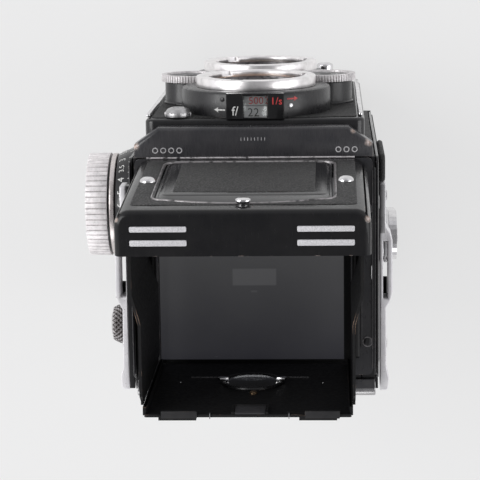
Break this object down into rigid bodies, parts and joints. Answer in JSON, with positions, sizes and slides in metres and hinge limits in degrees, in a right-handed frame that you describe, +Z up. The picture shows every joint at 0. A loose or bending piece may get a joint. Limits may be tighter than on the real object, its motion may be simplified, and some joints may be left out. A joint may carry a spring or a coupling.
{
  "type": "twin lens reflex camera",
  "caption": "Twin lens reflex camera with a raised folding viewing hood, paired lenses on a sliding front board, a ribbed focusing knob and a hinged back with the base.",
  "frame": {"origin": "middle of the bounding box's base, on the surface that the feet stand on, with the hood open and the lens board drawn in", "axes": "+Z up along the lens board and the open hood; -Y the way the lenses look; +X towards the focusing knob, on the viewer's left"},
  "size_m": [0.103, 0.1004, 0.1965],
  "materials": {
    "enamel": "gloss black, worn to brass at the edges",
    "casting": "die casting, matt black inside",
    "leather": "fine grain black covering",
    "matt_black": "matt black",
    "chrome": "bright",
    "satin_chrome": "satin",
    "steel": "brushed",
    "glass": "polished",
    "mirror": "silvered front",
    "scale_face": "matt silver with figures"
  },
  "bodies": {
    "camera_body": {"body_casting": "casting", "casting_wall_right": "casting", "side_panel_left": "leather", "side_panel_right": "leather", "top_front_cover": "enamel", "ground_glass": "glass", "hood_base_frame": "enamel", "mirror": "mirror", "strap_lug_left": "satin_chrome", "strap_lug_right": "satin_chrome", "frame_counter_window": "chrome", "back_door_hinge": "satin_chrome"},
    "lens_standard": {"lens_board": "leather", "front_trim_left": "chrome", "front_trim_right": "chrome", "viewing_lens_housing": "enamel", "taking_lens_housing": "enamel", "viewing_bayonet_ring": "chrome", "taking_bayonet_ring": "chrome", "viewing_lens": "glass", "taking_lens": "glass", "shutter_unit": "steel", "dial_window": "glass", "flash_socket": "chrome"},
    "focus_control": {"focus_knob": "satin_chrome", "distance_scale_ring": "enamel"},
    "aperture_control": {"aperture_wheel": "satin_chrome"},
    "aperture_dial": {"aperture_scale": "scale_face"},
    "speed_control": {"shutter_speed_wheel": "satin_chrome"},
    "speed_dial": {"shutter_speed_scale": "scale_face"},
    "shutter_release": {"release_button": "chrome"},
    "release_lock": {"release_guard": "satin_chrome"},
    "self_timer": {"self_timer_lever": "chrome"},
    "crank": {"crank_hub": "satin_chrome", "crank_arm": "chrome"},
    "crank_grip": {"crank_handle": "satin_chrome"},
    "take_up": {"take_up_spool": "enamel"},
    "upper_spool_knob": {"spool_knob_upper": "satin_chrome"},
    "lower_spool_knob": {"spool_knob_lower": "satin_chrome"},
    "upper_roller": {"film_roller_upper": "steel"},
    "lower_roller": {"film_roller_lower": "steel"},
    "back": {"back_door": "leather", "pressure_plate": "matt_black", "tripod_socket": "steel", "foot_front_left": "satin_chrome", "foot_front_right": "satin_chrome", "foot_rear_left": "satin_chrome", "foot_rear_right": "satin_chrome"},
    "latch": {"door_latch": "satin_chrome"},
    "lid": {"hood_lid": "enamel", "flap_catch": "chrome", "lid_stud_left": "chrome", "lid_stud_right": "chrome"},
    "flap": {"sports_finder_flap": "leather"},
    "magnifier": {"magnifier_arm": "matt_black", "magnifier_lens": "glass"},
    "left_wall": {"hood_side_wall_left": "matt_black"},
    "right_wall": {"hood_side_wall_right": "matt_black"},
    "back_wall": {"hood_back_wall": "matt_black", "eyepiece_lens": "glass"}
  },
  "joints": [
    {"name": "focus_travel", "type": "slide", "parent": "camera_body", "child": "lens_standard", "axis": [0, -1, 0], "range_m": [0, 0.0065]},
    {"name": "focus_turn", "type": "hinge", "parent": "camera_body", "child": "focus_control", "pos_m": [0.03943, -0.0041, 0.076], "axis": [1, 0, 0], "range_deg": [0, 250]},
    {"name": "aperture_set", "type": "hinge", "parent": "lens_standard", "child": "aperture_control", "pos_m": [0.01673, -0.0466, 0.076], "axis": [0, -1, 0], "range_deg": [-92, 92]},
    {"name": "aperture_dial_turn", "type": "hinge", "parent": "lens_standard", "child": "aperture_dial", "pos_m": [-0.00558, -0.0406, 0.097], "axis": [0, -1, 0], "range_deg": [-42, 42]},
    {"name": "speed_set", "type": "hinge", "parent": "lens_standard", "child": "speed_control", "pos_m": [-0.02788, -0.0466, 0.076], "axis": [0, -1, 0], "range_deg": [0, 207]},
    {"name": "speed_dial_turn", "type": "hinge", "parent": "lens_standard", "child": "speed_dial", "pos_m": [-0.00558, -0.0436, 0.097], "axis": [0, -1, 0], "range_deg": [-94, 0]},
    {"name": "release_press", "type": "slide", "parent": "lens_standard", "child": "shutter_release", "axis": [0, 1, 0], "range_m": [0, 0.002], "stiffness_N_per_m": 600, "springref_m": -0.0005},
    {"name": "release_lock_turn", "type": "hinge", "parent": "lens_standard", "child": "release_lock", "pos_m": [-0.02757, -0.0396, 0.017], "axis": [0, -1, 0], "range_deg": [0, 45]},
    {"name": "self_timer_swing", "type": "hinge", "parent": "lens_standard", "child": "self_timer", "pos_m": [0.01443, -0.0396, 0.031], "axis": [0, -1, 0], "range_deg": [0, 110]},
    {"name": "crank_turn", "type": "hinge", "parent": "camera_body", "child": "crank", "pos_m": [-0.04657, 0.0074, 0.074], "axis": [-1, 0, 0], "range_deg": [0, 360]},
    {"name": "crank_handle_fold", "type": "hinge", "parent": "crank", "child": "crank_grip", "pos_m": [-0.0502, 0.0074, 0.0495], "axis": [0, -1, 0], "range_deg": [0, 90]},
    {"name": "take_up_turn", "type": "hinge", "parent": "camera_body", "child": "take_up", "pos_m": [-0.00558, 0.0319, 0.0983], "axis": [-1, 0, 0], "range_deg": [0, 362]},
    {"name": "upper_spool_knob_pull", "type": "slide", "parent": "camera_body", "child": "upper_spool_knob", "axis": [1, 0, 0], "range_m": [0, 0.005], "stiffness_N_per_m": 300, "springref_m": -0.001},
    {"name": "lower_spool_knob_pull", "type": "slide", "parent": "camera_body", "child": "lower_spool_knob", "axis": [1, 0, 0], "range_m": [0, 0.005], "stiffness_N_per_m": 300, "springref_m": -0.001},
    {"name": "upper_roller_turn", "type": "hinge", "parent": "camera_body", "child": "upper_roller", "pos_m": [-0.00558, 0.0401, 0.0864], "axis": [1, 0, 0], "continuous": true},
    {"name": "lower_roller_turn", "type": "hinge", "parent": "camera_body", "child": "lower_roller", "pos_m": [-0.00558, 0.0397, 0.0212], "axis": [1, 0, 0], "continuous": true},
    {"name": "back_open", "type": "hinge", "parent": "camera_body", "child": "back", "pos_m": [-0.00558, 0.0478, 0.124], "axis": [1, 0, 0], "range_deg": [0, 120]},
    {"name": "latch_turn", "type": "hinge", "parent": "back", "child": "latch", "pos_m": [-0.00558, 0.0094, 0.0009], "axis": [0, 0, 1], "range_deg": [0, 90]},
    {"name": "lid_close", "type": "hinge", "parent": "camera_body", "child": "lid", "pos_m": [-0.00558, -0.02004, 0.13458], "axis": [-1, 0, 0], "range_deg": [0, 7]},
    {"name": "flap_fold", "type": "hinge", "parent": "lid", "child": "flap", "pos_m": [-0.00558, -0.02567, 0.13496], "axis": [-1, 0, 0], "range_deg": [0, 45]},
    {"name": "magnifier_swing", "type": "hinge", "parent": "flap", "child": "magnifier", "pos_m": [-0.00558, -0.02004, 0.17868], "axis": [1, 0, 0], "range_deg": [0, 90]},
    {"name": "left_wall_fold", "type": "hinge", "parent": "camera_body", "child": "left_wall", "pos_m": [0.02602, 0.0114, 0.1315], "axis": [0, -1, 0], "range_deg": [0, 90]},
    {"name": "right_wall_fold", "type": "hinge", "parent": "camera_body", "child": "right_wall", "pos_m": [-0.03717, 0.0114, 0.1327], "axis": [0, 1, 0], "range_deg": [0, 90]},
    {"name": "back_wall_fold", "type": "hinge", "parent": "camera_body", "child": "back_wall", "pos_m": [-0.00558, 0.0388, 0.129], "axis": [1, 0, 0], "range_deg": [0, 90]}
  ],
  "couplings": [
    {"joint": "focus_turn", "follows": "focus_travel", "rad_per_m": 671},
    {"joint": "aperture_dial_turn", "follows": "aperture_set", "ratio": -0.45},
    {"joint": "speed_dial_turn", "follows": "speed_set", "ratio": -0.45},
    {"joint": "take_up_turn", "follows": "crank_turn", "ratio": 1}
  ]
}
